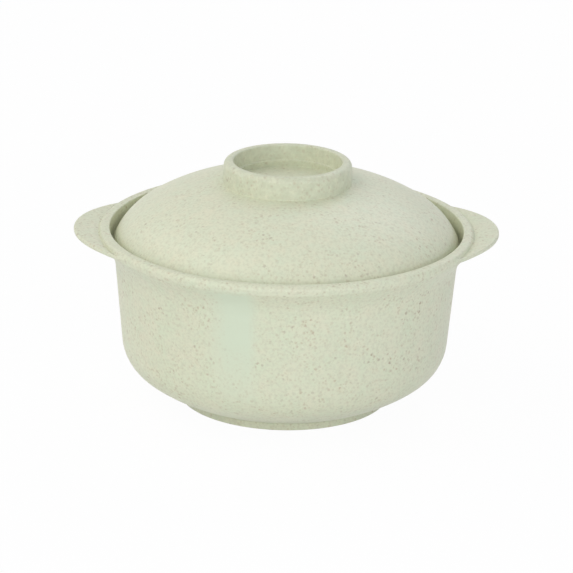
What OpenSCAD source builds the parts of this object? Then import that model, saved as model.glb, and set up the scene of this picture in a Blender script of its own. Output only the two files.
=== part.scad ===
// Instant noodle bowl with a lift-off domed lid: two ear handles, a sunk lid seat and a ring grip.
// Millimetres, +Z up. The origin is the centre of the foot's underside and the ears lie along X.

/* [Bowl] */
// Height of the bowl from the table to the top of the rim
bowl_h = 75.6; // [70:0.1:92]
// Thickness of the wall, from the seat down to the floor
wall_t = 2.8; // [2:0.1:3.4]
// Lean of the side wall from upright, in degrees
wall_taper = 4.9; // [3:0.1:7]
// Outside radius of the corner between the side wall and the belly
corner_r = 18; // [12:0.5:24]
// Outside radius of the shallow belly between the corner and the foot
belly_r = 64; // [50:1:100]
// Slope of the belly where it leaves the foot, in degrees from level
belly_slope = 19.5; // [15:0.5:25]
// Thickness of the floor inside the foot ring
floor_t = 2.6; // [2:0.1:4]
// Inside radius that blends the flat floor into the belly
floor_blend_r = 20; // [10:1:30]

/* [Foot ring] */
// Outside diameter of the foot ring
foot_d = 91.2; // [84:0.2:100]
// Height of the foot ring, up to the belly
foot_h = 3.4; // [3:0.1:6]
// Width of the foot ring
foot_w = 3.2; // [2.6:0.1:5]
// Depth of the hollow inside the foot ring
foot_recess = 2.8; // [2:0.1:3.6]
// Rounding of the foot ring's edges
foot_round = 0.7; // [0.3:0.1:1]

/* [Rim and lid seat] */
// Outside diameter of the rim
rim_d = 161; // [150:1:176]
// Width of the rim from its outer to its inner edge
rim_w = 4.9; // [4:0.1:6]
// Height of the upright band round the outside of the rim
rim_band = 3.2; // [2.6:0.1:4.5]
// Rounding of the rim's outer top edge
rim_round = 1; // [0.6:0.1:2]
// Rounding of the rim's inner top edge and of the band's lower edge
rim_edge = 0.6; // [0.4:0.1:1.2]
// Radius of the hollow where the wall turns out to the rim
flare_r = 15; // [8:1:25]
// Thickness of the plastic between the flare under the rim and the hollow of the lid seat
flare_t = 1.9; // [1.6:0.1:2.8]
// Depth of the lid seat below the top of the rim
seat_depth = 8.5; // [6:0.1:10]
// Width of the seat, from the wall's inner face to the collar round the lid
seat_w = 4.1; // [3.4:0.1:5]
// Radius of the hollow between the seat and the collar
seat_fillet = 1.8; // [1.2:0.1:1.8]
// Rounding of the seat's inner edge
seat_edge = 0.4; // [0.2:0.1:0.8]
// Lean of the collar's inner face from upright, in degrees
collar_draft = 4; // [1:0.5:8]

/* [Ear handles] */
// How far the tip of an ear stands out past the rim
ear_reach = 10.3; // [6:0.1:16]
// Radius of an ear's round outline
ear_r = 42; // [32:1:54]
// Thickness of an ear
ear_t = 2.2; // [2:0.1:2.6]
// Depth of an ear's upper face below the top of the rim, where it leaves the rim
ear_drop = 0.6; // [0.5:0.1:1.2]
// Lift of an ear towards its tip, in degrees
ear_lift = 3.2; // [0:0.1:4]
// Rounding of an ear's edge
ear_round = 0.9; // [0.4:0.1:0.9]

/* [Lid] */
// Gap all round between the lid's lip and the foot of the collar
lid_gap = 1.5; // [1.5:0.1:2.2]
// Thickness of the lid
lid_t = 2.4; // [1.8:0.1:3]
// Height of the crown above the seat
lid_h = 29; // [24:0.1:34]
// Outside radius of the crown
crown_r = 78; // [70:1:110]
// Outside radius of the shoulder between the crown and the lip
shoulder_r = 30; // [22:1:36]
// Slope of the shoulder where it meets the lip, in degrees from level
edge_slope = 64.5; // [58:0.5:74]
// Height of the upright lip round the lid's edge
lip_h = 4.2; // [2:0.1:6]
// Rounding of the lip's lower edges
lip_round = 0.4; // [0.2:0.1:0.5]

/* [Ring grip] */
// Outside diameter of the ring grip at its top
grip_d = 54.4; // [44:0.2:66]
// Height of the ring grip above the crown
grip_h = 9.2; // [7:0.1:14]
// Thickness of the ring grip at its top
grip_wall = 4; // [3.6:0.1:6]
// Lean of the ring's outer face from upright, in degrees
grip_draft = 1.5; // [0:0.5:5]
// Lean of the ring's inner face from upright, in degrees
bore_draft = 6; // [1:0.5:8]
// Rounding of the ring's outer top edge
grip_round = 2.4; // [1:0.1:2.6]
// Rounding of the ring's inner top edge
grip_edge = 0.8; // [0.3:0.1:1]
// Radius of the hollow between the ring and the crown
grip_fillet = 0.5; // [0.3:0.1:2]
// Width of the small step inside the ring
step_w = 0.9; // [0.5:0.1:1.5]
// Height of the step above the recess floor
step_h = 2.7; // [2:0.1:4]
// Rounding of the step's edges and of the recess floor's corner
step_round = 0.3; // [0.1:0.1:0.4]

/* [Hidden] */
$fn = 180;
// Most that a straight step of an arc's outline may lie inside the arc
arc_sag = 0.02;
// Most of a side that the roundings at its two ends may take
side_share = 0.96;
// Where the crown's arc starts outside the ring grip, in radii of the hollow between them
hollow_room = 2;
STRAW_GREEN = [0.83, 0.85, 0.75];

// Points and arcs of the turned outlines, as [radius, height]
function polar(c, r, a) = c + r * [cos(a), sin(a)];
function heading(v) = atan2(v.y, v.x);
function unit(v) = v / norm(v);
function arc_step(r) = 2 * acos(1 - arc_sag / r);
function arc(c, r, from, to) =
    let (n = ceil(abs(to - from) / arc_step(r)))
    [for (i = [0 : n]) polar(c, r, from + (to - from) * i / n)];
// The same arc without its first point, which the outline already has
function arc_on(c, r, from, to) =
    let (points = arc(c, r, from, to))
    [for (i = [1 : len(points) - 1]) points[i]];

// Corners of a closed outline: a third number in a point is that corner's radius, none means sharp
function corner(path, i) = path[(i + len(path)) % len(path)];
function spot(path, i) = [corner(path, i).x, corner(path, i).y];
function side(path, i) = spot(path, i + 1) - spot(path, i);
function half_angle(path, i) = acos(unit(side(path, i)) * unit(-side(path, i - 1))) / 2;
function wanted_reach(path, i) =
    len(corner(path, i)) < 3 ? 0 : corner(path, i)[2] / tan(half_angle(path, i));

// Two roundings on a side too short for both give way in proportion
function side_fit(path, i) =
    let (need = wanted_reach(path, i) + wanted_reach(path, i + 1))
    need == 0 ? 1 : min(1, side_share * norm(side(path, i)) / need);
function rounded_corner(path, i) =
    let (p = spot(path, i))
    let (half = half_angle(path, i))
    let (reach = wanted_reach(path, i) * min(side_fit(path, i - 1), side_fit(path, i)))
    let (before = p - unit(side(path, i - 1)) * reach)
    let (after = p + unit(side(path, i)) * reach)
    let (c = p + unit(before + after - 2 * p) * reach / cos(half))
    let (from = heading(before - c))
    let (turn = (heading(after - c) - from + 540) % 360 - 180)
    arc(c, reach * tan(half), from, from + turn);
function rounded(path) =
    [for (i = [0 : len(path) - 1])
        each len(path[i]) < 3 ? [path[i]] : rounded_corner(path, i)];

// Rim, seat and collar
rim_r = rim_d / 2;
band_z = bowl_h - rim_band;
collar_r = rim_r - rim_w;
seat_z = bowl_h - seat_depth;
seat_r = collar_r - seat_depth * tan(collar_draft);

// Side wall: its inner face ends at the seat, its outer face lies one wall thickness outside
function wall_in(z) = seat_r - seat_w + (z - seat_z) * tan(wall_taper);
function wall_out(z) = wall_in(z) + wall_t / cos(wall_taper);

// Flare under the rim: from the band's lower edge, touching a circle outside the seat's hollow
flare_from = [rim_r, band_z];
hollow_c = [seat_r - seat_fillet, seat_z + seat_fillet];
flare_lean = heading(hollow_c - flare_from) + asin((seat_fillet + flare_t) / norm(hollow_c - flare_from));
flare_rise = tan(flare_lean);
flare_foot_z =
    (band_z + flare_rise * (wall_out(0) - rim_r)) / (1 - flare_rise * tan(wall_taper));
flare_foot = [wall_out(flare_foot_z), flare_foot_z];

// Belly arc from the foot, and the corner arc that touches both the belly and the wall: its centre lies
// where a line inside the wall cuts the lower half of a circle about the belly's centre
foot_r = foot_d / 2;
foot_in_r = foot_r - foot_w;
foot_top = [foot_r, foot_h];
belly_c = polar(foot_top, belly_r, 90 + belly_slope);
function corner_line(z) = wall_out(z) - corner_r / cos(wall_taper);
function lower_cut(c, r, from, lean) =
    let (a = 1 + pow(lean, 2))
    let (b = (from - c.x) * lean - c.y)
    let (d = pow(from - c.x, 2) + pow(c.y, 2) - pow(r, 2))
    (-b - sqrt(pow(b, 2) - a * d)) / a;
corner_z = lower_cut(belly_c, belly_r - corner_r, corner_line(0), tan(wall_taper));
corner_c = [corner_line(corner_z), corner_z];
corner_turn = heading(corner_c - belly_c);
foot_turn = belly_slope - 90;

// Floor and the arc that blends it into the belly's inner face
floor_z = foot_recess + floor_t;
belly_in_r = belly_r - wall_t;
blend_z = floor_z + floor_blend_r;
blend_r = belly_c.x + sqrt(pow(belly_in_r - floor_blend_r, 2) - pow(belly_c.y - blend_z, 2));
blend_c = [blend_r, blend_z];
blend_turn = heading(blend_c - belly_c);

// Ears: round plates that grow out of the rim's band and rise about the place where they leave it
ear_top = bowl_h - ear_drop;
ear_c = ear_reach - ear_r;
ear_root_r = rim_r - rim_w / 2;

// Lid: upright lip, shoulder and crown, one thickness throughout, with a level top
lid_r = seat_r - lid_gap;
lip_z = seat_z + lip_h;
crown_z = seat_z + lid_h;
shoulder_turn = 90 - edge_slope;
shoulder_c = polar([lid_r, lip_z], shoulder_r, 180 + shoulder_turn);
crown_drop = shoulder_c.y - crown_z + crown_r;
crown_c = [shoulder_c.x - sqrt(pow(crown_r - shoulder_r, 2) - pow(crown_drop, 2)), crown_z - crown_r];
crown_turn = heading(shoulder_c - crown_c);
shoulder_in_r = shoulder_r - lid_t;
lip_in_r = lid_r - lid_t;
lip_in_turn = acos((lip_in_r - shoulder_c.x) / shoulder_in_r);

// Ring grip and its stepped recess
grip_top = crown_z + grip_h;
grip_r = grip_d / 2;
grip_base_r = grip_r + grip_h * tan(grip_draft);
grip_turn = acos((grip_base_r - crown_c.x) / crown_r);
fillet_turn = acos((grip_base_r + hollow_room * grip_fillet - crown_c.x) / crown_r);
bore_r = grip_r - grip_wall;
step_z = crown_z + step_h;
step_r = bore_r - (grip_h - step_h) * tan(bore_draft);
recess_r = step_r - step_w;

// Turned outline of the bowl, from the middle of the underside, up the outside and down the inside
bowl_outline = [
    [0, foot_recess],
    [foot_in_r, foot_recess, foot_round],
    [foot_in_r, 0, foot_round],
    [foot_r, 0, foot_round],
    each arc(belly_c, belly_r, foot_turn, corner_turn),
    each arc_on(corner_c, corner_r, corner_turn, -wall_taper),
    concat(flare_foot, flare_r),
    concat(flare_from, rim_edge),
    [rim_r, bowl_h, rim_round],
    [collar_r, bowl_h, rim_edge],
    [seat_r, seat_z, seat_fillet],
    [wall_in(seat_z), seat_z, seat_edge],
    each arc(corner_c, corner_r - wall_t, -wall_taper, corner_turn),
    each arc_on(belly_c, belly_in_r, corner_turn, blend_turn),
    each arc_on(blend_c, floor_blend_r, blend_turn, -90),
    [0, floor_z]
];

// Outline of one ear, turned about the middle of its own round, down from its upper face
ear_outline = [
    [0, -ear_t],
    [ear_r, -ear_t, ear_round],
    [ear_r, 0, ear_round],
    [0, 0]
];

// Turned outline of the lid, from the middle of the recess, over the grip and back along the underside
lid_outline = [
    [0, crown_z],
    [recess_r, crown_z, step_round],
    [recess_r, step_z, step_round],
    [step_r, step_z, step_round],
    [bore_r, grip_top, grip_edge],
    [grip_r, grip_top, grip_round],
    concat(polar(crown_c, crown_r, grip_turn), grip_fillet),
    each arc(crown_c, crown_r, fillet_turn, crown_turn),
    each arc_on(shoulder_c, shoulder_r, crown_turn, shoulder_turn),
    [lid_r, seat_z, lip_round],
    [lip_in_r, seat_z, lip_round],
    each arc(shoulder_c, shoulder_in_r, lip_in_turn, crown_turn),
    each arc_on(crown_c, crown_r - lid_t, crown_turn, 90),
    [0, crown_z - lid_t]
];

module ear() {
    difference() {
        translate([rim_r, 0, ear_top])
            rotate([0, -ear_lift, 0])
                translate([ear_c, 0, 0])
                    rotate_extrude()
                        polygon(rounded(ear_outline));
        cylinder(r = ear_root_r, h = bowl_h);
    }
}

module bowl() {
    color(STRAW_GREEN)
        union() {
            rotate_extrude()
                polygon(rounded(bowl_outline));
            for (side = [0, 180])
                rotate([0, 0, side])
                    ear();
        }
}

module lid() {
    color(STRAW_GREEN)
        rotate_extrude()
            polygon(rounded(lid_outline));
}

bowl();
lid();
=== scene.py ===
"""Looks of a lidded noodle bowl: turned meshes, speckled straw plastic, a white studio and a camera."""

import logging
import math
from abc import ABC, abstractmethod
from dataclasses import dataclass
from enum import Enum
from typing import ClassVar, Optional, Sequence, Union

import bpy
import numpy as np
from mathutils import Matrix, Vector


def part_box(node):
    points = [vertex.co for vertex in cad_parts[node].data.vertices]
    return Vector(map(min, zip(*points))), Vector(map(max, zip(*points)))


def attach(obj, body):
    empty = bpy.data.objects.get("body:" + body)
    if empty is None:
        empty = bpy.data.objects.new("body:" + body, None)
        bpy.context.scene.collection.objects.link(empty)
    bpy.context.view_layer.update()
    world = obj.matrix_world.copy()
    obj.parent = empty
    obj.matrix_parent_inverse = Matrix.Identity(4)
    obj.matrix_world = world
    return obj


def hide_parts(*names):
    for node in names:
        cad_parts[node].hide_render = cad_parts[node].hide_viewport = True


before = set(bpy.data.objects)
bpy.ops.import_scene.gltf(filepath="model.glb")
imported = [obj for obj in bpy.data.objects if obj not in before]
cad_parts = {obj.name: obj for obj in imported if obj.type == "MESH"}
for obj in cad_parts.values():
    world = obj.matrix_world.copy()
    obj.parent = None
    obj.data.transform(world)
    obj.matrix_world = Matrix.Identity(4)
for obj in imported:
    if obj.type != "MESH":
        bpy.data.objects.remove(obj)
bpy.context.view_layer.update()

log = logging.getLogger("noodle_bowl")

MM = 0.001

# Every ring of a turned mesh has one point in each of these directions.
DIRECTIONS = 288
TURNS = np.linspace(0, 2 * math.pi, DIRECTIONS, endpoint=False)

Colour = tuple[float, float, float]
Setting = Union[str, bool, int, float]
Point = tuple[float, float]
Values = Union[float, np.ndarray]

WHITE: Colour = (1.0, 1.0, 1.0)


class Body(Enum):
    """Bodies of the frame that the pieces ride on; each has one node of the same name."""

    BOWL = "bowl"
    LID = "lid"


class Slot(Enum):
    """Material slots of the record."""

    BOWL = "bowl_plastic"
    LID = "lid_plastic"


class Ray(Enum):
    """Kinds of ray that see the plain white of the studio instead of its light."""

    CAMERA = "Is Camera Ray"
    GLOSSY = "Is Glossy Ray"
    TRANSMISSION = "Is Transmission Ray"


class Detail(Enum):
    """Octaves of a noise texture."""

    SMOOTH = 1.0
    MEDIUM = 2.0
    FINE = 3.0


class Wire:
    """One output socket of a shader node, with arithmetic that adds Math nodes."""

    def __init__(self, graph: "Graph", socket: bpy.types.NodeSocket) -> None:
        """Keeps the socket and the graph that it is in."""
        self.graph = graph
        self.socket = socket

    def other(self, output: str) -> "Wire":
        """Another output of the same node."""
        return Wire(self.graph, self.socket.node.outputs[output])

    def __add__(self, value: "Number") -> "Wire":
        """Sum of this and a value."""
        return self.graph.math("ADD", self, value)

    def __radd__(self, value: "Number") -> "Wire":
        """Sum of a value and this."""
        return self.graph.math("ADD", value, self)

    def __sub__(self, value: "Number") -> "Wire":
        """This less a value."""
        return self.graph.math("SUBTRACT", self, value)

    def __rsub__(self, value: "Number") -> "Wire":
        """A value less this."""
        return self.graph.math("SUBTRACT", value, self)

    def __mul__(self, value: "Number") -> "Wire":
        """Product of this and a value."""
        return self.graph.math("MULTIPLY", self, value)

    def __rmul__(self, value: "Number") -> "Wire":
        """Product of a value and this."""
        return self.graph.math("MULTIPLY", value, self)

    def __lt__(self, value: "Number") -> "Wire":
        """One where this is under a value, else zero."""
        return self.graph.math("LESS_THAN", self, value)

    def clamped(self) -> "Wire":
        """This, held between zero and one."""
        return self.graph.node("ShaderNodeClamp", inputs={"Value": self})

    def stretched(self, cut: float, contrast: float) -> "Wire":
        """How far this is above the cut, times the contrast, held between zero and one."""
        return ((self - cut) * contrast).clamped()

    def rising(self, start: float, room: float) -> "Wire":
        """Zero up to the start, and one from the start plus the room on."""
        return self.stretched(start, 1 / room)

    def falling(self, end: "Number", room: float) -> "Wire":
        """One up to the end less the room, and zero from the end on."""
        return ((end - self) * (1 / room)).clamped()


Number = Union[Wire, float]
Value = Union[Wire, float, Sequence[float]]


class Graph:
    """The node tree of a material or of the world.

    Attributes:
        MIX_FIRST: Place of the first colour among a Mix node's inputs.
        MIX_SECOND: Place of the second colour among them.
        MIX_RESULT: Place of the mixed colour among its outputs.
        NOISE_MEAN: Mean value of a noise texture.
    """

    MIX_FIRST = 6
    MIX_SECOND = 7
    MIX_RESULT = 2
    NOISE_MEAN = 0.5

    def __init__(self, tree: bpy.types.NodeTree) -> None:
        """Empties the tree."""
        self.tree = tree
        tree.nodes.clear()

    def node(
        self,
        kind: str,
        settings: Optional[dict[str, Setting]] = None,
        inputs: Optional[dict[Union[str, int], Value]] = None,
        output: Union[str, int] = 0,
    ) -> Wire:
        """Adds a node.

        Args:
            kind: Type of the node.
            settings: Properties of the node, set before its sockets.
            inputs: Values or wires for its input sockets.
            output: The output socket that is wanted.

        Returns:
            A wire from that output.
        """
        made = self.tree.nodes.new(kind)
        for name, setting in (settings or {}).items():
            setattr(made, name, setting)
        for key, value in (inputs or {}).items():
            if isinstance(value, Wire):
                self.tree.links.new(value.socket, made.inputs[key])
            else:
                made.inputs[key].default_value = value
        return Wire(self, made.outputs[output])

    def math(self, operation: str, first: Number, second: Number) -> Wire:
        """Adds a Math node."""
        return self.node("ShaderNodeMath", {"operation": operation}, {0: first, 1: second})

    def mix_colour(self, share: Number, first: Value, second: Value) -> Wire:
        """Adds a colour Mix node, from the first colour at a share of zero to the second at one."""
        inputs = {0: share, self.MIX_FIRST: first, self.MIX_SECOND: second}
        return self.node("ShaderNodeMix", {"data_type": "RGBA"}, inputs, self.MIX_RESULT)

    def mix_shader(self, share: Number, first: Wire, second: Wire) -> Wire:
        """Adds a Mix Shader node."""
        return self.node("ShaderNodeMixShader", inputs={0: share, 1: first, 2: second})

    def noise(self, place: Wire, feature: float, detail: Detail = Detail.MEDIUM) -> Wire:
        """Adds a noise texture.

        Args:
            place: Coordinates in metres.
            feature: Size of its features in metres.
            detail: How much finer noise it has.

        Returns:
            A wire of values about the mean.
        """
        inputs = {"Vector": place, "Scale": 1 / feature, "Detail": detail.value}
        return self.node("ShaderNodeTexNoise", inputs=inputs)

    def seen_plainly(self) -> Wire:
        """Adds the nodes that pick out the rays that see plain white.

        Returns:
            A wire that is one for those rays and zero for the others.
        """
        path = self.node("ShaderNodeLightPath", output=Ray.CAMERA.value)
        seen = path + path.other(Ray.GLOSSY.value) + path.other(Ray.TRANSMISSION.value)
        return seen.clamped()

    def surface(self, shader: Wire, kind: str = "ShaderNodeOutputMaterial") -> None:
        """Ends the tree in an output node."""
        made = self.tree.nodes.new(kind)
        self.tree.links.new(shader.socket, made.inputs["Surface"])


def opaque(colour: Colour) -> tuple[float, float, float, float]:
    """The colour with full alpha."""
    return (*colour, 1.0)


@dataclass(frozen=True)
class Fleck:
    """One kind of straw fleck in the plastic.

    Attributes:
        spacing: Mean distance between flecks in the plastic, in metres.
        radius: Largest radius, in metres.
        share: Share of places that hold a fleck.
        colour: Colour of the fleck.
        strength: How much of its colour shows at most.
        softness: Width of its edge, as a share of the spacing.
        SMALLEST: Smallest radius, as a share of the largest.
        FAINTEST: Least strength, as a share of the most.
    """

    spacing: float
    radius: float
    share: float
    colour: Colour
    strength: float
    softness: float
    SMALLEST: ClassVar[float] = 0.55
    FAINTEST: ClassVar[float] = 0.45

    def mask(self, graph: Graph, place: Wire) -> Wire:
        """Adds the nodes that place these flecks.

        Args:
            graph: The material's nodes.
            place: Coordinates in metres.

        Returns:
            A wire that is up to the strength inside flecks and zero elsewhere.
        """
        cells = graph.node("ShaderNodeTexVoronoi", inputs={"Vector": place, "Scale": 1 / self.spacing})
        chance = graph.node("ShaderNodeSeparateColor", inputs={"Color": cells.other("Color")})
        grown = self.SMALLEST + (1 - self.SMALLEST) * chance.other("Green")
        shown = self.FAINTEST + (1 - self.FAINTEST) * chance.other("Blue")
        inside = cells.falling(self.radius / self.spacing * grown, self.softness)
        return inside * (chance < self.share) * shown * self.strength


@dataclass(frozen=True)
class PaintedSheen:
    """An upright band of painted sheen, lighter and greener, in which the straw hardly shows.

    Attributes:
        colour: Colour of the painted sheen.
        straw_hidden: Share of the usual straw that the painted sheen hides.
        left: Angle of its left edge from the front, in radians.
        right: Angle of its right edge.
        left_soft: Width of the left edge, in radians.
        right_soft: Width of the right edge.
        foot: Height at which it starts to show, in metres.
        foot_soft: Height over which it comes up.
        top: Height at which it ends.
        top_soft: Height over which it fades below its end.
    """

    colour: Colour
    straw_hidden: float
    left: float
    right: float
    left_soft: float
    right_soft: float
    foot: float
    foot_soft: float
    top: float
    top_soft: float

    def mask(self, graph: Graph, place: Wire) -> Wire:
        """Adds the nodes that place the painted sheen.

        Args:
            graph: The material's nodes.
            place: Coordinates in metres.

        Returns:
            A wire that is one inside the painted sheen and zero outside.
        """
        axes = graph.node("ShaderNodeSeparateXYZ", inputs={"Vector": place})
        angle = graph.math("ARCTAN2", axes, 0 - axes.other("Y"))
        height = axes.other("Z")
        sideways = angle.rising(self.left, self.left_soft) * angle.falling(self.right, self.right_soft)
        upright = height.rising(self.foot, self.foot_soft) * height.falling(self.top, self.top_soft)
        return sideways * upright


@dataclass(frozen=True)
class DarkPatchZone:
    """The upper part of a piece, darker and greener in patches.

    Attributes:
        colour: Colour where the patches are strongest.
        foot: Height at which the zone starts, in metres.
        foot_soft: Height over which it comes up.
        patch: Size of its patches, in metres.
        patch_contrast: How steeply a patch comes up.
        patch_cut: What is taken off the patches, so that some plastic stays clear.
    """

    colour: Colour
    foot: float
    foot_soft: float
    patch: float
    patch_contrast: float
    patch_cut: float

    def mask(self, graph: Graph, place: Wire) -> Wire:
        """Adds the nodes that place the zone.

        Args:
            graph: The material's nodes.
            place: Coordinates in metres.

        Returns:
            A wire that comes up to one in patches inside the zone and is zero outside.
        """
        height = graph.node("ShaderNodeSeparateXYZ", inputs={"Vector": place}, output="Z")
        patches = graph.noise(place, self.patch, Detail.FINE) * self.patch_contrast - self.patch_cut
        return patches.clamped() * height.rising(self.foot, self.foot_soft)


@dataclass(frozen=True)
class StrawPlastic:
    """Satin moulded plastic with straw ground into it.

    Attributes:
        name: Name of the material.
        warm: Colour where more straw shows.
        cool: Colour of the clearer plastic.
        dust: Colour of the finest straw.
        flecks: Kinds of fleck, from the faintest to the strongest.
        painted_sheen: A band of painted sheen that hides the straw, if there is one.
        dark_patches: Darker, greener patches on the upper part, if there are any.
        crowding: How strongly the flecks show.
        cloud: Size of the clouds of warm and cool colour, in metres.
        cloud_contrast: How strongly the clouds show.
        tint: Size of the smaller changes of colour, in metres.
        tint_contrast: How strongly those show.
        grain: Size of the dust's grains, in metres.
        grain_cut: Value of the noise at which a grain starts.
        grain_contrast: How steeply a grain comes up.
        grain_share: How much of the dust's colour shows at most.
        drift: Size of the patches with more and fewer flecks, in metres.
        drift_cut: Value of the noise at which the flecks start to gather.
        drift_contrast: How steeply they gather.
        drift_least: How strongly the flecks show where they are fewest.
        warp: Size of the notches in the flecks' edges, in metres.
        fleck_relief: Height of a fleck beside the grain's.
        relief: Strength of the relief.
        relief_height: Height of the relief, in metres.
        rough: Mean roughness.
        rough_cloud: How much the clouds change the roughness.
        rough_relief: How much the relief changes it.
        refraction: Refractive index of the plastic.
    """

    name: str
    warm: Colour
    cool: Colour
    dust: Colour
    flecks: tuple[Fleck, ...]
    painted_sheen: Optional[PaintedSheen] = None
    dark_patches: Optional[DarkPatchZone] = None
    crowding: float = 1.0
    cloud: float = 11 * MM
    cloud_contrast: float = 1.6
    tint: float = 3.6 * MM
    tint_contrast: float = 1.2
    grain: float = 1.2 * MM
    grain_cut: float = 0.45
    grain_contrast: float = 4.5
    grain_share: float = 0.5
    drift: float = 14 * MM
    drift_cut: float = 0.36
    drift_contrast: float = 3.2
    drift_least: float = 0.3
    warp: float = 1.1 * MM
    fleck_relief: float = 0.4
    relief: float = 0.08
    relief_height: float = 0.1 * MM
    rough: float = 0.45
    rough_cloud: float = 0.1
    rough_relief: float = 0.08
    refraction: float = 1.49

    def material(self) -> bpy.types.Material:
        """Makes the material.

        Returns:
            A material whose colour, roughness and relief follow the object's own coordinates.
        """
        made = bpy.data.materials.new(self.name)
        made.use_nodes = True
        graph = Graph(made.node_tree)
        place = graph.node("ShaderNodeTexCoord", output="Object")
        cloud = graph.noise(place, self.cloud, Detail.FINE) - Graph.NOISE_MEAN
        grain = graph.noise(place, self.grain, Detail.FINE)
        colour, straw = self._ground(graph, place, cloud)
        dust = grain.stretched(self.grain_cut, self.grain_contrast) * straw * self.grain_share
        colour = graph.mix_colour(dust, colour, opaque(self.dust))
        drift = graph.noise(place, self.drift).stretched(self.drift_cut, self.drift_contrast)
        crowd = straw * (self.drift_least + (1 - self.drift_least) * drift) * self.crowding
        ragged = self._ragged(graph, place)
        relief = grain
        for fleck in self.flecks:
            mask = fleck.mask(graph, ragged) * crowd
            colour = graph.mix_colour(mask, colour, opaque(fleck.colour))
            relief = relief + mask * self.fleck_relief
        rough = self.rough + cloud * self.rough_cloud + (relief - Graph.NOISE_MEAN) * self.rough_relief
        bump = {"Height": relief, "Strength": self.relief, "Distance": self.relief_height}
        normal = graph.node("ShaderNodeBump", inputs=bump)
        satin = {"Base Color": colour, "Roughness": rough, "Normal": normal, "IOR": self.refraction}
        graph.surface(graph.node("ShaderNodeBsdfPrincipled", inputs=satin))
        return made

    def _ground(self, graph: Graph, place: Wire, cloud: Wire) -> tuple[Wire, Number]:
        """Adds the nodes of the plastic between the flecks.

        Args:
            graph: The material's nodes.
            place: Coordinates in metres.
            cloud: The clouds, as values about zero.

        Returns:
            Its colour, and the share of the usual straw that shows, which the painted sheen lowers.
        """
        tint = graph.noise(place, self.tint, Detail.SMOOTH) - Graph.NOISE_MEAN
        blend = cloud * self.cloud_contrast + tint * self.tint_contrast + Graph.NOISE_MEAN
        colour = graph.mix_colour(blend.clamped(), opaque(self.warm), opaque(self.cool))
        straw: Number = 1.0
        # Painted sheen: a lighter, greener band in which the straw hardly shows.
        if self.painted_sheen:
            clear = self.painted_sheen.mask(graph, place)
            colour = graph.mix_colour(clear, colour, opaque(self.painted_sheen.colour))
            straw = 1 - self.painted_sheen.straw_hidden * clear
        if self.dark_patches:
            zone = self.dark_patches.mask(graph, place)
            colour = graph.mix_colour(zone, colour, opaque(self.dark_patches.colour))
        return colour, straw

    def _ragged(self, graph: Graph, place: Wire) -> Wire:
        """Adds the nodes that push the coordinates about a little, so that the flecks aren't round.

        Args:
            graph: The material's nodes.
            place: Coordinates in metres.

        Returns:
            A wire of the pushed coordinates.
        """
        push = graph.noise(place, self.warp, Detail.SMOOTH).other("Color")
        means = (Graph.NOISE_MEAN,) * 3
        centred = graph.node("ShaderNodeVectorMath", {"operation": "SUBTRACT"}, {0: push, 1: means})
        scale = {0: centred, "Scale": self.warp}
        scaled = graph.node("ShaderNodeVectorMath", {"operation": "SCALE"}, scale)
        return graph.node("ShaderNodeVectorMath", {"operation": "ADD"}, {0: place, 1: scaled})


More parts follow.
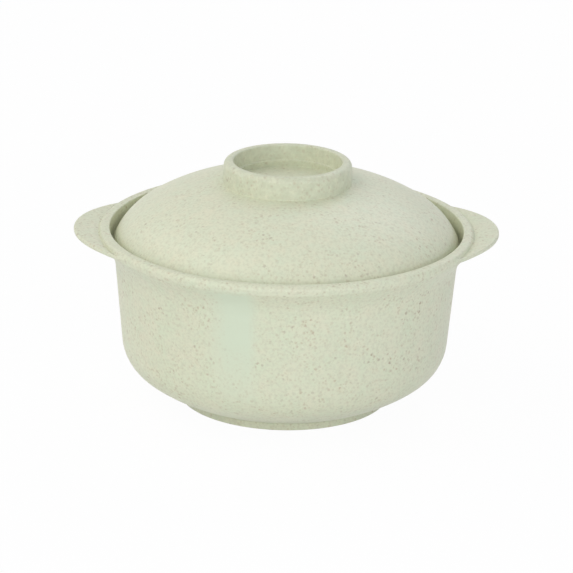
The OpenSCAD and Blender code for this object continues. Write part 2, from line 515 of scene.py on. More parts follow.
class Outline:
    """A line on one side of the axis, drawn by its corners and arcs, with rounded corners.

    Attributes:
        ARC_STEP: Longest distance between the points of an arc, in metres.
        TURN_STEP: Largest turn between the points of an arc, in radians.
        LEAST_STEPS: Fewest steps of an arc.
        LONG_STRETCH: Length from which a straight stretch gets extra points near its ends.
        EDGE_ROOM: Distance of those points from the ends.
        SAME_SPOT: Distance under which two points are one.
    """

    ARC_STEP = 2.0 * MM
    TURN_STEP = math.radians(9)
    LEAST_STEPS = 2
    LONG_STRETCH = 2.6 * MM
    EDGE_ROOM = 0.4 * MM
    SAME_SPOT = 0.001 * MM

    def __init__(self) -> None:
        """Starts an empty outline."""
        self.corners: list[tuple[float, float, float]] = []

    def to(self, r: float, z: float, rounding: float = 0.0) -> "Outline":
        """Adds a corner at a radius and a height, with its rounding."""
        self.corners.append((r, z, rounding))
        return self

    def arc(self, centre: Point, radius: float, start: float, end: float) -> "Outline":
        """Adds points along an arc.

        Args:
            centre: Middle of the arc.
            radius: Its radius.
            start: Angle of its first point, in radians.
            end: Angle of its last point.

        Returns:
            This outline.
        """
        for angle in self._angles(radius, start, end):
            self.to(centre[0] + radius * math.cos(angle), centre[1] + radius * math.sin(angle))
        return self

    def points(self) -> np.ndarray:
        """Works out the outline.

        Returns:
            Its points as rows of radius and height, with extra ones beside each bend.
        """
        bent: list[np.ndarray] = []
        last = len(self.corners) - 1
        for i, (r, z, rounding) in enumerate(self.corners):
            here = np.array((r, z))
            if rounding and 0 < i < last:
                before = np.array(self.corners[i - 1][:2])
                after = np.array(self.corners[i + 1][:2])
                bent.extend(self._rounded(before, here, after, rounding))
            else:
                bent.append(here)
        return self._supported(bent)

    def _angles(self, radius: float, start: float, end: float) -> np.ndarray:
        """Spreads points along an arc.

        Args:
            radius: Radius of the arc.
            start: Angle of its first point, in radians.
            end: Angle of its last point.

        Returns:
            The points' angles.
        """
        turn = abs(end - start)
        steps = max(math.ceil(turn / self.TURN_STEP), math.ceil(turn * radius / self.ARC_STEP))
        return np.linspace(start, end, max(steps, self.LEAST_STEPS) + 1)

    def _rounded(
        self, before: np.ndarray, here: np.ndarray, after: np.ndarray, rounding: float
    ) -> list[np.ndarray]:
        """Rounds a corner.

        Args:
            before: The corner before it.
            here: The corner.
            after: The corner after it.
            rounding: Radius of the rounding.

        Returns:
            Points of the arc that takes the corner's place.
        """
        back = (before - here) / np.linalg.norm(before - here)
        on = (after - here) / np.linalg.norm(after - here)
        half = math.acos(float(np.clip(back @ on, -1, 1))) / 2
        reach = rounding / math.tan(half)
        middle = here + (back + on) / np.linalg.norm(back + on) * rounding / math.sin(half)
        first, final = here + back * reach - middle, here + on * reach - middle
        start = math.atan2(first[1], first[0])
        turn = math.atan2(first[0] * final[1] - first[1] * final[0], float(first @ final))
        return [
            middle + rounding * np.array((math.cos(a), math.sin(a)))
            for a in self._angles(rounding, start, start + turn)
        ]

    def _supported(self, bent: Sequence[np.ndarray]) -> np.ndarray:
        """Adds points near the ends of every long straight stretch, which keep its shading even.

        Args:
            bent: Points of the outline.

        Returns:
            All points as rows, without doubles.
        """
        full = [bent[0]]
        for first, second in zip(bent, bent[1:]):
            length = float(np.linalg.norm(second - first))
            if length < self.SAME_SPOT:
                continue
            if length > self.LONG_STRETCH:
                full.append(first + (second - first) * self.EDGE_ROOM / length)
                full.append(second - (second - first) * self.EDGE_ROOM / length)
            full.append(second)
        return np.array(full)


def turned_piece(name: str, radii: np.ndarray, heights: np.ndarray) -> bpy.types.Object:
    """Makes a closed mesh of rings round the Z axis.

    Args:
        name: Name of the piece.
        radii: Radius of every point, a row per ring from the underside outwards, a column per direction.
        heights: Height of every point, laid out alike.

    Returns:
        The piece, smooth shaded, whose first and last rings lie on the axis.
    """
    rings = np.stack((radii * np.cos(TURNS), radii * np.sin(TURNS), heights), axis=-1)[1:-1]
    points = [*map(tuple, rings.reshape(-1, 3)), (0, 0, heights[0, 0]), (0, 0, heights[-1, 0])]
    low, high = len(points) - 2, len(points) - 1
    top = (len(rings) - 1) * DIRECTIONS
    faces: list[tuple[int, ...]] = []
    for j in range(DIRECTIONS):
        k = (j + 1) % DIRECTIONS
        faces.append((low, k, j))
        faces.append((high, top + j, top + k))
        for i in range(0, top, DIRECTIONS):
            faces.append((i + j, i + k, i + DIRECTIONS + k, i + DIRECTIONS + j))
    mesh = bpy.data.meshes.new(name)
    mesh.from_pydata(points, [], faces)
    mesh.shade_smooth()
    piece = bpy.data.objects.new(name, mesh)
    bpy.context.scene.collection.objects.link(piece)
    return piece


def all_round(points: np.ndarray) -> tuple[np.ndarray, np.ndarray]:
    """Radii and heights of an outline that is the same in every direction."""
    ones = np.ones(DIRECTIONS)
    return points[:, :1] * ones, points[:, 1:] * ones


# Least room of a rounded change, so that a room of zero divides nothing by zero.
LEAST_ROOM = 1e-6 * MM


def smooth_max(first: Values, second: Values, room: Values) -> np.ndarray:
    """The larger of two values, with a rounded change from one to the other within the room."""
    near = np.clip(room - np.abs(first - second), 0, None)
    return np.maximum(first, second) + near**2 / (4 * np.maximum(room, LEAST_ROOM))


def smooth_min(first: Values, second: Values, room: Values) -> np.ndarray:
    """The smaller of two values, with a rounded change from one to the other within the room."""
    return -smooth_max(-first, -second, room)


def rounded_box(across: np.ndarray, up: np.ndarray, rounding: float) -> np.ndarray:
    """Distance outside two square faces that meet in a rounded edge, negative inside."""
    a, b = across + rounding, up + rounding
    return np.hypot(np.maximum(a, 0), np.maximum(b, 0)) + np.minimum(np.maximum(a, b), 0) - rounding


class Moulding(ABC):
    """A piece of one moulding, which rides on a body and stands for that body's node.

    Attributes:
        BODY: The body.
        SLOT: The record's slot of its finish.
    """

    BODY: ClassVar[Body]
    SLOT: ClassVar[Slot]

    @abstractmethod
    def build(self) -> bpy.types.Object:
        """Makes the moulding's mesh."""

    def dress(self, piece: bpy.types.Object, finish: StrawPlastic) -> None:
        """Gives the mesh its finish and its place in the frame.

        Args:
            piece: The mesh that was built.
            finish: The finish.
        """
        piece.data.materials.append(finish.material())
        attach(piece, self.BODY.value)
        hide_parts(self.BODY.value)
        log.info("%s: %d faces in %s", piece.name, len(piece.data.polygons), finish.name)


@dataclass
class Bowl(Moulding):
    """The bowl with its foot ring, lid seat and two ear handles, in metres and radians.

    Attributes:
        rim_r: Outside radius of the rim.
        height: Height of the rim's top in the frame.
        ear_tip: Distance of an ear's tip from the axis.
        wall: Thickness of the wall.
        taper: Lean of the wall, outwards to its top.
        corner_r: Outside radius of the round corner below the wall.
        belly_r: Outside radius of the belly between corner and foot.
        belly_slope: Slope of the belly at the foot.
        floor: Thickness of the floor.
        floor_blend: Radius between the belly's inside and the floor.
        foot_r: Outside radius of the foot ring.
        foot_h: Height of the foot ring.
        foot_w: Width of the foot ring.
        foot_recess: Depth of the recess inside the foot ring.
        foot_round: Rounding of the foot ring's edges.
        foot_fillet: Fillet between foot ring and belly.
        rim_w: Width of the rim at its top.
        rim_round: Rounding of the rim's outer edge.
        rim_crown: Height of the rim's top above the frame's.
        rim_edge: Rounding of the rim's inner edge.
        band: Height of the band round the rim.
        band_edge: Rounding of the band's lower edge.
        band_undercut: Depth of the flare's top inside the rim's outside.
        band_lean: Lean of the band, outwards to its top.
        flare_r: Radius between the wall and the flare under the rim.
        flare_t: Thickness of the flare.
        seat_depth: Depth of the lid seat below the rim's top.
        seat_w: Width of the lid seat.
        seat_fillet: Fillet between seat and collar.
        seat_edge: Rounding of the seat's inner edge.
        collar_draft: Lean of the collar round the seat.
        ear_r: Radius of an ear's edge, seen from above.
        ear_t: Thickness of an ear.
        ear_drop: Depth of an ear's top below the rim's at its root.
        ear_lift: Rise of an ear to its tip.
        ear_round: Rounding of an ear's edges.
        ear_onset: Reach past the rim at which an ear has its full form.
        ear_blend: Room in which an ear's edge runs into the rim, seen from above.
        ear_fillet: Fillet between ear and rim.
        ear_valley: Depth of the dip between the rim and an ear's top.
        ear_valley_w: Width of that dip.
        ear_root: Depth inside the rim at which the ears and the rim's section start.
        ear_sunk: Depth of the ears' edge inside the rim where there is no ear.
        ear_near: Length from the root in which the points lie close together.
        NEAR_SHARE: Share of a short section that this length takes at most.
        FINE_FROM: Share of this length that has coarse steps.
        COARSE_STEPS: Steps in that share.
        FINE_STEPS: Steps in the rest of this length.
        FAR_STEPS: Steps from there to the edge.
        FAN_STEPS: Steps round the edge.
        HALVINGS: Halvings that find each point of the surface.
    """

    rim_r: float
    height: float
    ear_tip: float
    wall: float = 2.8 * MM
    taper: float = math.radians(4.9)
    corner_r: float = 18 * MM
    belly_r: float = 64 * MM
    belly_slope: float = math.radians(19.5)
    floor: float = 2.6 * MM
    floor_blend: float = 20 * MM
    foot_r: float = 45.6 * MM
    foot_h: float = 3.4 * MM
    foot_w: float = 3.2 * MM
    foot_recess: float = 2.8 * MM
    foot_round: float = 0.7 * MM
    foot_fillet: float = 1.1 * MM
    rim_w: float = 4.9 * MM
    rim_round: float = 2.4 * MM
    rim_crown: float = 0.3 * MM
    rim_edge: float = 0.6 * MM
    band: float = 3.6 * MM
    band_edge: float = 0.4 * MM
    band_undercut: float = 0.75 * MM
    band_lean: float = math.radians(12)
    flare_r: float = 15 * MM
    flare_t: float = 1.9 * MM
    seat_depth: float = 8.5 * MM
    seat_w: float = 4.1 * MM
    seat_fillet: float = 1.8 * MM
    seat_edge: float = 0.4 * MM
    collar_draft: float = math.radians(4)
    ear_r: float = 42 * MM
    ear_t: float = 2.2 * MM
    ear_drop: float = 0.55 * MM
    ear_lift: float = math.radians(3.2)
    ear_round: float = 0.9 * MM
    ear_onset: float = 1.35 * MM
    ear_blend: float = 7.0 * MM
    ear_fillet: float = 0.15 * MM
    ear_valley: float = 0.8 * MM
    ear_valley_w: float = 1.2 * MM
    ear_root: float = 2.6 * MM
    ear_sunk: float = 0.5 * MM
    ear_near: float = 2.6 * MM
    NEAR_SHARE: ClassVar[float] = 0.75
    FINE_FROM: ClassVar[float] = 0.42
    COARSE_STEPS: ClassVar[int] = 3
    FINE_STEPS: ClassVar[int] = 17
    FAR_STEPS: ClassVar[int] = 8
    FAN_STEPS: ClassVar[int] = 24
    HALVINGS: ClassVar[int] = 40
    BODY: ClassVar[Body] = Body.BOWL
    SLOT: ClassVar[Slot] = Slot.BOWL

    @classmethod
    def from_frame(cls) -> "Bowl":
        """A bowl of the size that the frame has."""
        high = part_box(Body.BOWL.value)[1]
        return cls(rim_r=high.y, height=high.z, ear_tip=high.x)

    @property
    def seat_z(self) -> float:
        """Height of the lid seat."""
        return self.height - self.seat_depth

    @property
    def seat_r(self) -> float:
        """Outer radius of the lid seat, at the foot of the collar."""
        return self.rim_r - self.rim_w - self.seat_depth * math.tan(self.collar_draft)

    def wall_in(self, z: float) -> float:
        """Radius of the wall's inner face at a height."""
        return self.seat_r - self.seat_w + (z - self.seat_z) * math.tan(self.taper)

    def wall_out(self, z: float) -> float:
        """Radius of the wall's outer face at a height."""
        return self.wall_in(z) + self.wall / math.cos(self.taper)

    @property
    def flare_slope(self) -> float:
        """Slope of the flare under the rim.

        Returns:
            The slope at which the flare keeps its own thickness outside the hollow of the seat.
        """
        away_r = self.seat_r - self.seat_fillet - self.rim_r
        away_z = self.seat_z + self.seat_fillet - (self.height - self.band)
        lean = math.atan2(away_z, away_r) % (2 * math.pi)
        return lean + math.asin((self.seat_fillet + self.flare_t) / math.hypot(away_r, away_z)) - math.pi

    def flare_z(self, r: float) -> float:
        """Height of the flare at a radius."""
        past_top = r - self.rim_r + self.band_undercut
        return self.height - self.band + past_top * math.tan(self.flare_slope)

    @property
    def flare_foot(self) -> Point:
        """Where the flare leaves the wall.

        Returns:
            Radius and height of that point.
        """
        rise = math.tan(self.flare_slope)
        z = (self.flare_z(0) + rise * self.wall_out(0)) / (1 - rise * math.tan(self.taper))
        return self.wall_out(z), z

    @property
    def belly_c(self) -> Point:
        """Centre of the belly's arc."""
        return (
            self.foot_r - self.belly_r * math.sin(self.belly_slope),
            self.foot_h + self.belly_r * math.cos(self.belly_slope),
        )

    @property
    def corner_c(self) -> Point:
        """Centre of the corner's arc.

        Returns:
            Radius and height of the centre from which the arc touches the belly and the wall.
        """
        lean = math.tan(self.taper)
        inset = self.wall_out(0) - self.corner_r / math.cos(self.taper)
        cx, cz = self.belly_c
        a = 1 + lean**2
        b = (inset - cx) * lean - cz
        c = (inset - cx) ** 2 + cz**2 - (self.belly_r - self.corner_r) ** 2
        z = (-b - math.sqrt(b**2 - a * c)) / a
        return inset + z * lean, z

    @property
    def corner_turn(self) -> float:
        """Angle at which the belly's arc passes into the corner's."""
        return math.atan2(self.corner_c[1] - self.belly_c[1], self.corner_c[0] - self.belly_c[0])

    @property
    def root_r(self) -> float:
        """Radius inside the ears' roots, where the top of the rim is still level."""
        return self.rim_r - self.ear_root

    def build(self) -> bpy.types.Object:
        """Makes the bowl's mesh.

        Returns:
            The piece.
        """
        outside = self._outside().points()[:-1]
        inside = self._inside().points()[1:]
        sections = (all_round(outside), self._rim_section(), all_round(inside))
        radii, heights = (np.concatenate(parts) for parts in zip(*sections))
        return turned_piece("bowl_moulding", radii, heights)

    def _outside(self) -> Outline:
        """Draws the outside.

        Returns:
            Outline from the middle of the underside up to the flare under the rim.
        """
        foot_in = self.foot_r - self.foot_w
        line = Outline().to(0, self.foot_recess).to(foot_in, self.foot_recess, self.foot_round)
        line.to(foot_in, 0, self.foot_round).to(self.foot_r, 0, self.foot_round)
        line.to(self.foot_r, self.foot_h, self.foot_fillet)
        clear = self.belly_slope - math.pi / 2 + 2 * self.foot_fillet / self.belly_r
        line.arc(self.belly_c, self.belly_r, clear, self.corner_turn)
        line.arc(self.corner_c, self.corner_r, self.corner_turn, -self.taper)
        return line.to(*self.flare_foot, self.flare_r).to(self.root_r, self.flare_z(self.root_r))

    def _inside(self) -> Outline:
        """Draws the inside.

        Returns:
            Outline from the top of the rim down the inside to the middle of the floor.
        """
        top = self.height + self.rim_crown
        line = Outline().to(self.root_r, top).to(self.rim_r - self.rim_w, top, self.rim_edge)
        line.to(self.seat_r, self.seat_z, self.seat_fillet)
        line.to(self.wall_in(self.seat_z), self.seat_z, self.seat_edge)
        line.arc(self.corner_c, self.corner_r - self.wall, -self.taper, self.corner_turn)
        belly_in = self.belly_r - self.wall
        floor_z = self.foot_recess + self.floor
        blend_z = floor_z + self.floor_blend
        rise = self.belly_c[1] - blend_z
        blend_r = self.belly_c[0] + math.sqrt((belly_in - self.floor_blend) ** 2 - rise**2)
        blend_turn = math.atan2(-rise, blend_r - self.belly_c[0])
        line.arc(self.belly_c, belly_in, self.corner_turn, blend_turn)
        line.arc((blend_r, blend_z), self.floor_blend, blend_turn, -math.pi / 2)
        return line.to(0, floor_z)

    def _ear_reach(self) -> np.ndarray:
        """Works out how far the ears stand out.

        Returns:
            Their reach past the rim in each direction, negative where they stay inside it.
        """
        along, aside = np.abs(np.cos(TURNS)), np.sin(TURNS)
        centre = self.ear_tip - self.ear_r
        half_chord = np.sqrt(np.clip(self.ear_r**2 - (centre * aside) ** 2, 0, None))
        return smooth_max(centre * along + half_chord - self.rim_r, -self.ear_sunk, self.ear_blend)

    def _ear_middle(self, r: np.ndarray, grown: np.ndarray) -> np.ndarray:
        """Height of the ear's middle at a radius in each direction, for the share of its form there."""
        out = r * np.abs(np.cos(TURNS)) - self.rim_r
        return self.height - self.ear_drop - self.ear_t / 2 + math.tan(self.ear_lift) * grown * out

    def _ray_starts(self, reach: np.ndarray) -> np.ndarray:
        """Spreads the starts of the rays from the root of the ears to near their edge.

        Args:
            reach: How far the ears stand out in each direction.

        Returns:
            Radii of the starts, a column per direction.
        """
        length = self.rim_r + np.maximum(reach, 0) - self.ear_t / 2 - self.root_r
        near = smooth_min(self.NEAR_SHARE * length, self.ear_near, self.ear_near / 2)
        coarse = np.linspace(0, self.FINE_FROM, self.COARSE_STEPS, endpoint=False)[:, None]
        fine = np.linspace(self.FINE_FROM, 1, self.FINE_STEPS + 1)[:, None]
        far = np.linspace(0, 1, self.FAR_STEPS + 1)[1:, None]
        return self.root_r + np.concatenate((coarse * near, fine * near, near + far * (length - near)))

    def _rim_section(self) -> tuple[np.ndarray, np.ndarray]:
        """Draws the rim from the flare over its band, or over an ear, to its top, in each direction.

        Returns:
            Radii and heights: rays leave a line inside the rim and the ear, down along the line,
            round its end and up again along it, and each gives the point where it comes out.
        """
        reach = self._ear_reach()
        grown = np.clip(reach / self.ear_onset, 0, 1)
        starts = self._ray_starts(reach)
        fan = np.linspace(-math.pi / 2, math.pi / 2, self.FAN_STEPS + 1)
        origin = np.concatenate((starts, np.repeat(starts[-1:], len(fan) - 2, axis=0), starts[::-1]))
        down, up = np.full(len(starts), fan[0]), np.full(len(starts), fan[-1])
        turn = np.concatenate((down, fan[1:-1], up))[:, None]
        level = self._ear_middle(origin, grown)
        inner, outer = np.zeros_like(origin), np.full_like(origin, 2 * self.band)
        for _ in range(self.HALVINGS):
            step = (inner + outer) / 2
            r, z = origin + step * np.cos(turn), level + step * np.sin(turn)
            rim, ear = self._rim_distance(r, z), self._ear_distance(r, z, reach, grown)
            within = smooth_min(rim, ear, self.ear_fillet * grown) < 0
            inner, outer = np.where(within, step, inner), np.where(within, outer, step)
        return origin + inner * np.cos(turn), level + inner * np.sin(turn)

    def _rim_distance(self, r: np.ndarray, z: np.ndarray) -> np.ndarray:
        """Measures how far points are from the rim without its ears.

        Args:
            r: Radii of the points.
            z: Their heights.

        Returns:
            Distances outside the rim's section, negative inside.
        """
        face = (r - self.rim_r) * math.cos(self.band_lean) + (self.height - z) * math.sin(self.band_lean)
        crown = rounded_box(face, z - self.height - self.rim_crown, self.rim_round)
        flare = (self.flare_z(0) - z) * math.cos(self.flare_slope) + r * math.sin(self.flare_slope)
        under = rounded_box(face, self.height - self.band - z, self.band_edge)
        return np.maximum(crown, smooth_min(flare, under, self.band_edge))

    def _ear_distance(
        self, r: np.ndarray, z: np.ndarray, reach: np.ndarray, grown: np.ndarray
    ) -> np.ndarray:
        """Measures how far points are from the ear in their direction.

        Args:
            r: Radii of the points, a column per direction.
            z: Their heights.
            reach: How far the ears stand out in each direction.
            grown: Share of its form that an ear has in each direction.

        Returns:
            Distances outside the ear's section, negative inside.
        """
        dip = self.ear_valley * grown * np.exp(-np.clip(r - self.rim_r, 0, None) / self.ear_valley_w)
        up = z - self._ear_middle(r, grown)
        face = np.maximum(up + dip, -up) - self.ear_t / 2
        return rounded_box(r - self.rim_r - reach, face, self.ear_round)


@dataclass
class Lid(Moulding):
    """The domed lid with its ring grip, in metres and radians.

    Attributes:
        radius: Outside radius of the lip.
        seat_z: Height of the seat that the lip stands on.
        top_z: Height of the ring's top.
        thick: Thickness of dome and lip.
        crown_r: Outside radius of the dome.
        shoulder_r: Outside radius of the shoulder between dome and lip.
        edge_slope: Slope of the shoulder at the lip.
        lip_h: Height of the lip.
        lip_round: Rounding of the lip's edges.
        grip_r: Outside radius of the ring at its top.
        grip_h: Height of the ring above the floor of its recess.
        grip_wall: Width of the ring at its top.
        grip_draft: Lean of the ring's outer face.
        bore_draft: Lean of the ring's inner face.
        grip_round: Rounding of the ring's outer edge.
        grip_edge: Rounding of the ring's inner edge.
        grip_fillet: Fillet between ring and dome.
        step_w: Width of the step in the recess.
        step_h: Height of the step.
        step_round: Rounding of the step's edges.
    """

    radius: float
    seat_z: float
    top_z: float
    thick: float = 2.4 * MM
    crown_r: float = 78 * MM
    shoulder_r: float = 30 * MM
    edge_slope: float = math.radians(64.5)
    lip_h: float = 4.2 * MM
    lip_round: float = 0.4 * MM
    grip_r: float = 27.2 * MM
    grip_h: float = 9.2 * MM
    grip_wall: float = 4 * MM
    grip_draft: float = math.radians(1.5)
    bore_draft: float = math.radians(6)
    grip_round: float = 2.4 * MM
    grip_edge: float = 0.8 * MM
    grip_fillet: float = 0.2 * MM
    step_w: float = 0.9 * MM
    step_h: float = 2.7 * MM
    step_round: float = 0.3 * MM
    BODY: ClassVar[Body] = Body.LID
    SLOT: ClassVar[Slot] = Slot.LID

    @classmethod
    def from_frame(cls) -> "Lid":
        """A lid of the size that the frame has."""
        low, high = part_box(Body.LID.value)
        return cls(radius=high.y, seat_z=low.z, top_z=high.z)

    @property
    def crown_z(self) -> float:
        """Height of the dome's crown, which is the floor of the ring's recess."""
        return self.top_z - self.grip_h

    def build(self) -> bpy.types.Object:
        """Makes the lid's mesh.

        Returns:
            The piece.
        """
        return turned_piece("lid_moulding", *all_round(self._outline().points()))

    def _outline(self) -> Outline:
        """Draws the lid.

        Returns:
            Outline from the middle of the underside round the lip and over the dome into the recess.
        """
        shoulder = math.pi / 2 - self.edge_slope
        shoulder_c = (
            self.radius - self.shoulder_r * math.cos(shoulder),
            self.seat_z + self.lip_h - self.shoulder_r * math.sin(shoulder),
        )
        drop = shoulder_c[1] - self.crown_z + self.crown_r
        spread = math.sqrt((self.crown_r - self.shoulder_r) ** 2 - drop**2)
        crown_c = (shoulder_c[0] - spread, self.crown_z - self.crown_r)
        crown_turn = math.atan2(drop, spread)
        lip_in_r = self.radius - self.thick
        lip_in_turn = math.acos((lip_in_r - shoulder_c[0]) / (self.shoulder_r - self.thick))
        line = Outline().to(0, self.crown_z - self.thick)
        line.arc(crown_c, self.crown_r - self.thick, math.pi / 2, crown_turn)
        line.arc(shoulder_c, self.shoulder_r - self.thick, crown_turn, lip_in_turn)
        line.to(lip_in_r, self.seat_z, self.lip_round).to(self.radius, self.seat_z, self.lip_round)
        line.arc(shoulder_c, self.shoulder_r, shoulder, crown_turn)
        base_r = self.grip_r + self.grip_h * math.tan(self.grip_draft)
        fillet_turn = math.acos((base_r + 2 * self.grip_fillet - crown_c[0]) / self.crown_r)
        line.arc(crown_c, self.crown_r, crown_turn, fillet_turn)
        base_turn = math.acos((base_r - crown_c[0]) / self.crown_r)
        line.to(base_r, crown_c[1] + self.crown_r * math.sin(base_turn), self.grip_fillet)
        return self._grip(line)

    def _grip(self, line: Outline) -> Outline:
        """Adds the ring grip and its stepped recess.

        Args:
            line: Outline up to the foot of the ring.

        Returns:
            The outline, which ends in the middle of the recess.
        """
        bore_r = self.grip_r - self.grip_wall
        step_r = bore_r - (self.grip_h - self.step_h) * math.tan(self.bore_draft)
        line.to(self.grip_r, self.top_z, self.grip_round).to(bore_r, self.top_z, self.grip_edge)
        line.to(step_r, self.crown_z + self.step_h, self.step_round)
        line.to(step_r - self.step_w, self.crown_z + self.step_h, self.step_round)
        return line.to(step_r - self.step_w, self.crown_z, self.step_round).to(0, self.crown_z)


@dataclass(frozen=True)
class SoftLamp:
    """A square soft box that faces the bowl.

    Attributes:
        name: Name of the lamp.
        place: Where it stands, in metres.
        side: Length of its side.
        power: Power in watts.
        colour: Colour of its light.
    """

    name: str
    place: tuple[float, float, float]
    side: float
    power: float
    colour: Colour

    def hang(self, target: Vector) -> None:
        """Makes the lamp.

        Args:
            target: Point that the lamp is turned to.
        """
        light = bpy.data.lights.new(self.name, "AREA")
        light.size, light.energy, light.color = self.side, self.power, self.colour
        lamp = bpy.data.objects.new(self.name, light)
        lamp.location = self.place
        lamp.rotation_euler = (target - lamp.location).to_track_quat("-Z", "Y").to_euler()
        lamp.visible_camera = False
        bpy.context.scene.collection.objects.link(lamp)


@dataclass(frozen=True)
class Studio:
    """White floor, soft light and the camera of the photograph, in metres and radians.

    Attributes:
        lamps: The soft boxes.
        sky: Strength of the light from all round.
        sky_colour: Its colour.
        sky_tilt: How much brighter it is on the left than in the middle, as a share.
        floor_white: Share of plain white in the floor, the rest is lit and takes the shadow.
        floor_colour: Colour of the lit floor.
        floor_half: Half of the floor's side.
        floor_gap: Depth of the floor below the foot ring.
        elevation: Height of the camera's direction above the horizon.
        azimuth: Turn of the camera round the bowl, to the right.
        roll: Turn of the camera about its own axis.
        distance: Distance of the camera from its target.
        target: Point in the middle of the picture.
        focal_px: Focal length in pixels.
        image_px: Width and height of the picture in pixels.
    """

    lamps: tuple[SoftLamp, ...]
    sky: float = 0.485
    sky_colour: Colour = (1.0, 1.0, 1.08)
    sky_tilt: float = 0.4
    floor_white: float = 0.965
    floor_colour: Colour = (0.9, 0.9, 0.9)
    floor_half: float = 4.0
    floor_gap: float = 0.05 * MM
    elevation: float = math.radians(19.24)
    azimuth: float = math.radians(-1.7)
    roll: float = math.radians(1.10)
    distance: float = 1.2915
    target: tuple[float, float, float] = (0.41 * MM, 0.0, 48.49 * MM)
    focal_px: float = 3000.0
    image_px: float = 573.0

    def build(self) -> None:
        """Makes the floor, the light and the camera."""
        bpy.context.scene.view_settings.view_transform = "Standard"
        self._floor()
        self._world()
        for lamp in self.lamps:
            lamp.hang(Vector(self.target))
        self._camera()
        log.info("studio: %d lamps", len(self.lamps))

    def _floor(self) -> None:
        """Lays the floor, which is nearly plain white to the camera and keeps a soft shadow."""
        half, z = self.floor_half, -self.floor_gap
        corners = [(-half, -half, z), (half, -half, z), (half, half, z), (-half, half, z)]
        mesh = bpy.data.meshes.new("studio_floor")
        mesh.from_pydata(corners, [], [range(len(corners))])
        material = bpy.data.materials.new("studio_white")
        material.use_nodes = True
        graph = Graph(material.node_tree)
        lit = graph.node("ShaderNodeBsdfDiffuse", inputs={"Color": opaque(self.floor_colour)})
        plain = graph.node("ShaderNodeEmission", inputs={"Color": opaque(WHITE), "Strength": 1.0})
        graph.surface(graph.mix_shader(graph.seen_plainly() * self.floor_white, lit, plain))
        mesh.materials.append(material)
        floor = bpy.data.objects.new("studio_floor", mesh)
        bpy.context.scene.collection.objects.link(floor)

    def _world(self) -> None:
        """Fills the surroundings with soft light, plain white where it is seen."""
        world = bpy.data.worlds.new("studio_sky")
        world.use_nodes = True
        bpy.context.scene.world = world
        graph = Graph(world.node_tree)
        way = graph.node("ShaderNodeTexCoord", output="Generated")
        right = graph.node("ShaderNodeSeparateXYZ", inputs={"Vector": way}, output="X")
        strength = self.sky * (1 - self.sky_tilt * right)
        light = {"Color": opaque(self.sky_colour), "Strength": strength}
        soft = graph.node("ShaderNodeBackground", inputs=light)
        plain = graph.node("ShaderNodeBackground", inputs={"Color": opaque(WHITE), "Strength": 1.0})
        graph.surface(graph.mix_shader(graph.seen_plainly(), soft, plain), "ShaderNodeOutputWorld")

    def _camera(self) -> None:
        """Sets the camera up."""
        data = bpy.data.cameras.new("photo_camera")
        data.lens = data.sensor_width * self.focal_px / self.image_px
        camera = bpy.data.objects.new("photo_camera", data)
        level = math.cos(self.elevation)
        back = Vector(
            (math.sin(self.azimuth) * level, -math.cos(self.azimuth) * level, math.sin(self.elevation))
        )
        facing = (-back).to_track_quat("-Z", "Y").to_matrix() @ Matrix.Rotation(self.roll, 3, "Z")
        place = Vector(self.target) + back * self.distance
        camera.matrix_world = Matrix.Translation(place) @ facing.to_4x4()
        bpy.context.scene.collection.objects.link(camera)
        bpy.context.scene.camera = camera


HAZE = (0.63, 0.54, 0.37)
PITH = (0.80, 0.82, 0.65)
CHAFF = (0.475, 0.395, 0.235)
STALK = (0.395, 0.275, 0.155)
HUSK = (0.27, 0.172, 0.095)
STRAW_FLECKS = (
    Fleck(spacing=4.2 * MM, radius=1.9 * MM, share=0.45, colour=HAZE, strength=0.45, softness=0.8),
    Fleck(spacing=2.3 * MM, radius=0.9 * MM, share=0.6, colour=PITH, strength=0.5, softness=0.3),
    Fleck(spacing=1.5 * MM, radius=0.75 * MM, share=0.85, colour=CHAFF, strength=0.6, softness=0.3),
    Fleck(spacing=2.0 * MM, radius=0.85 * MM, share=0.75, colour=STALK, strength=0.8, softness=0.3),
    Fleck(spacing=3.0 * MM, radius=0.9 * MM, share=0.55, colour=HUSK, strength=0.88, softness=0.22),
)
# Painted sheen on the bowl's wall, left of the front: lighter, greener and nearly without straw.
PAINTED_SHEEN = PaintedSheen(
    colour=(0.62, 0.692, 0.518),
    straw_hidden=0.94,
    left=math.radians(-29.5),
    right=math.radians(-9.6),
    left_soft=math.radians(9.0),
    right_soft=math.radians(4.0),
    foot=8 * MM,
    foot_soft=40 * MM,
    top=74 * MM,
    top_soft=4 * MM,
)
# Darker, greener patches over the grip ring, from the floor of its recess up.
GRIP_PATCHES = DarkPatchZone(
    colour=(0.55, 0.58, 0.415),
    foot=95.8 * MM,
    foot_soft=0.4 * MM,
    patch=3 * MM,
    patch_contrast=1.8,
    patch_cut=0.4,
)
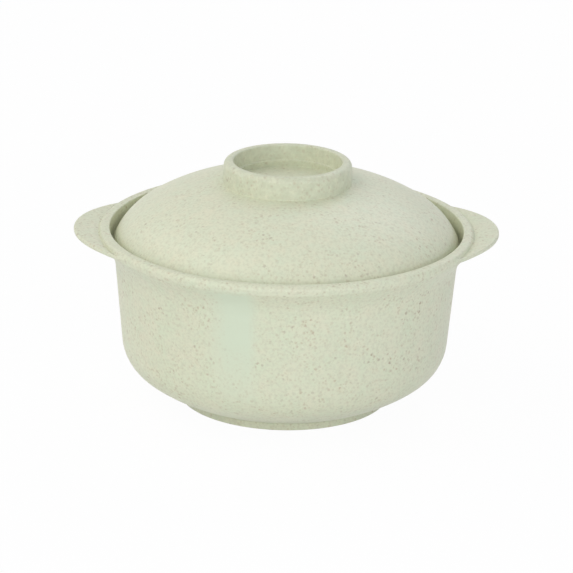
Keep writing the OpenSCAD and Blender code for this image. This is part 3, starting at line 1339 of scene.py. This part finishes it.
BOWL_PLASTIC = StrawPlastic(
    name="bowl_straw_plastic",
    warm=(0.68, 0.68, 0.50),
    cool=(0.64, 0.69, 0.50),
    dust=(0.55, 0.555, 0.405),
    flecks=STRAW_FLECKS,
    painted_sheen=PAINTED_SHEEN,
)
LID_PLASTIC = StrawPlastic(
    name="lid_straw_plastic",
    warm=(0.695, 0.693, 0.508),
    cool=(0.65, 0.698, 0.515),
    dust=(0.555, 0.563, 0.40),
    flecks=STRAW_FLECKS,
    dark_patches=GRIP_PATCHES,
    crowding=0.72,
)

LAMP_WHITE = (1.0, 1.0, 0.98)
LAMP_WARM = (1.03, 1.0, 0.92)
LAMP_COOL = (0.96, 1.0, 1.13)
STUDIO = Studio(
    lamps=(
        SoftLamp("key_left", place=(-1.2, -0.2, 1.3), side=0.3, power=1.3, colour=LAMP_WARM),
        SoftLamp("side_left", place=(-1.6, -0.5, 0.9), side=0.3, power=1.3, colour=LAMP_WHITE),
        SoftLamp("top_left", place=(-0.9, -0.2, 1.7), side=0.8, power=3.1, colour=LAMP_WARM),
        SoftLamp("back_left", place=(-1.2, 0.8, 1.2), side=0.8, power=2.9, colour=LAMP_WARM),
        SoftLamp("front", place=(0.0, -1.6, 0.8), side=0.8, power=3.8, colour=LAMP_WHITE),
        SoftLamp("front_low", place=(0.0, -1.8, 0.3), side=0.7, power=3.8, colour=LAMP_COOL),
        SoftLamp("front_left", place=(-0.9, -1.5, 0.8), side=0.8, power=3.0, colour=LAMP_WHITE),
        SoftLamp("fill_right", place=(1.3, -0.9, 0.8), side=1.2, power=2.6, colour=LAMP_COOL),
        SoftLamp("low_right", place=(1.2, -1.3, 0.25), side=0.7, power=2.8, colour=LAMP_COOL),
        SoftLamp("back_right", place=(0.7, 1.3, 1.4), side=1.0, power=5.6, colour=LAMP_COOL),
    ),
)


def main() -> None:
    """Builds the pieces and the studio."""
    logging.basicConfig(level=logging.INFO, format="%(name)s: %(message)s")
    for moulding, finish in ((Bowl.from_frame(), BOWL_PLASTIC), (Lid.from_frame(), LID_PLASTIC)):
        moulding.dress(moulding.build(), finish)
    STUDIO.build()


if __name__ == "__main__":
    main()
